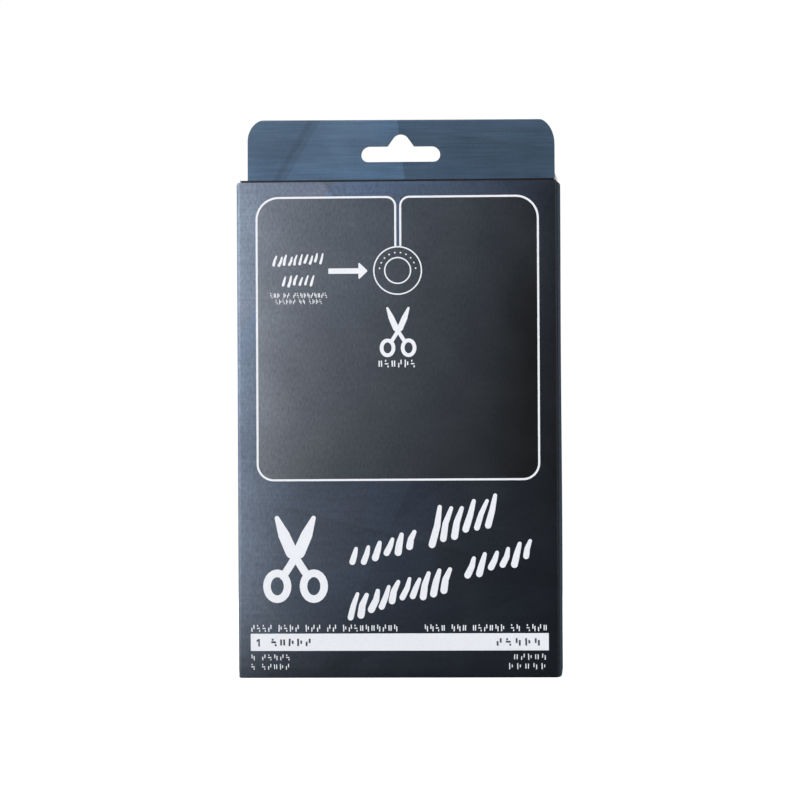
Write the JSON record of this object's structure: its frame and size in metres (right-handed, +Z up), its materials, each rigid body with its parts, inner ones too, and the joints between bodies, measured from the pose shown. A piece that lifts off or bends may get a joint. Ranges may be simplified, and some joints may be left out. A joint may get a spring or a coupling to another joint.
{
  "type": "boxed barber cape",
  "caption": "Folded barber cape with a rubber neck collar in a slim printed hang-tab carton with a tuck-in top lid.",
  "frame": {"origin": "centre of the carton's base, on the surface it stands on", "axes": "+Z up along the carton's height, the printed front faces -Y, the header rises at +Y"},
  "size_m": [0.127, 0.028, 0.2246],
  "materials": {
    "printed_board": "slate-blue print under a satin film",
    "plain_board": "uncoated inside face",
    "cape_cloth": "black woven polyester",
    "binding_tape": "black ribbed tape",
    "collar_rubber": "matt moulded",
    "post_plastic": "moulded black"
  },
  "bodies": {
    "carton": {"front_panel": "printed_board", "back_panel": "printed_board", "left_side_panel": "printed_board", "right_side_panel": "printed_board", "glue_flap": "plain_board", "header_rear_ply": "printed_board", "header_front_ply": "printed_board", "bottom_outer_flap": "printed_board", "bottom_inner_flap": "printed_board", "bottom_left_dust_flap": "plain_board", "bottom_right_dust_flap": "plain_board", "cape_cloth": "cape_cloth", "hem_binding": "binding_tape", "neck_collar": "collar_rubber", "neckline_binding": "binding_tape", "closure_post_1": "post_plastic", "closure_post_2": "post_plastic"},
    "lid": {"top_lid": "printed_board"},
    "tuck": {"top_tuck_flap": "printed_board"},
    "left_dust": {"top_left_dust_flap": "printed_board"},
    "right_dust": {"top_right_dust_flap": "printed_board"}
  },
  "joints": [
    {"name": "lid_crease", "type": "hinge", "parent": "carton", "child": "lid", "pos_m": [0, 0.01265, 0.19775], "axis": [-1, 0, 0], "range_deg": [0, 90]},
    {"name": "tuck_crease", "type": "hinge", "parent": "lid", "child": "tuck", "pos_m": [0, -0.01252, 0.197], "axis": [-1, 0, 0], "range_deg": [-54, 0]},
    {"name": "left_dust_crease", "type": "hinge", "parent": "carton", "child": "left_dust", "pos_m": [-0.06327, 0, 0.19625], "axis": [0, -1, 0], "range_deg": [0, 45]},
    {"name": "right_dust_crease", "type": "hinge", "parent": "carton", "child": "right_dust", "pos_m": [0.06327, 0, 0.19625], "axis": [0, 1, 0], "range_deg": [0, 45]}
  ],
  "couplings": [
    {"joint": "tuck_crease", "follows": "lid_crease", "ratio": -0.6},
    {"joint": "left_dust_crease", "follows": "lid_crease", "ratio": 0.5},
    {"joint": "right_dust_crease", "follows": "lid_crease", "ratio": 0.5}
  ]
}
